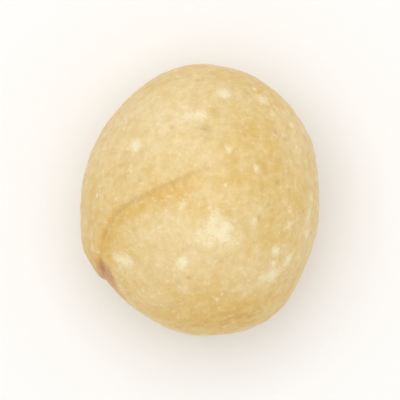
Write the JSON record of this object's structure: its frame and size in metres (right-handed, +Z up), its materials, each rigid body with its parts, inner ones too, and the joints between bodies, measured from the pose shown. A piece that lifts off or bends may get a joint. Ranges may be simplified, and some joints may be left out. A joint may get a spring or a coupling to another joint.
{
  "type": "shelled macadamia kernel",
  "caption": "Whole shelled macadamia kernel, a blunt cream-coloured egg with a soft seam round it and a small germ tip, lying on its side.",
  "frame": {"origin": "middle of the bottom of the kernel's box, in the plane of the flat spot that it rests on", "axes": "+Z up from the flat spot, towards the side that the picture shows; +Y along the kernel's longest way, across both seed leaves, towards the narrower one; +X about along the seam, towards the germ tip"},
  "size_m": [0.0184, 0.0208, 0.0176],
  "materials": {
    "kernel_skin": "satin"
  },
  "bodies": {
    "root": {"kernel": "kernel_skin"}
  },
  "joints": []
}
